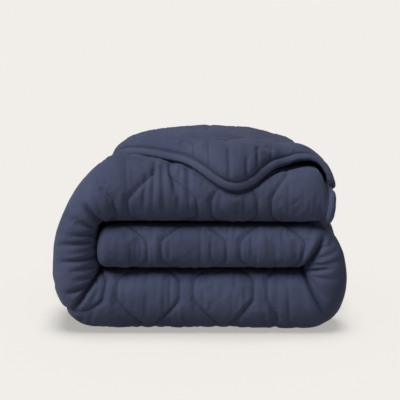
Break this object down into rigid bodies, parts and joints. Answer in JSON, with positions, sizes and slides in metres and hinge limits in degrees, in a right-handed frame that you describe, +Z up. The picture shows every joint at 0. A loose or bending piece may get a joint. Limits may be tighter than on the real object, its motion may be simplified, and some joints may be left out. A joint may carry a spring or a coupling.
{
  "type": "folded quilted duvet",
  "caption": "Quilted single duvet with a bound edge, folded in thirds and turned over into a soft layered stack that rests flat.",
  "frame": {"origin": "middle of the underside of the folded stack, on the surface it rests on", "axes": "+X along the folded layers to the right, +Y from the front folds to the back fold, +Z up"},
  "size_m": [0.6422, 0.4694, 0.4202],
  "materials": {
    "quilted_cover": "matte brushed microfibre, navy",
    "edge_binding": "matte woven binding, navy"
  },
  "bodies": {
    "root": {"quilted_body": "quilted_cover", "bound_edge": "edge_binding"}
  },
  "joints": []
}
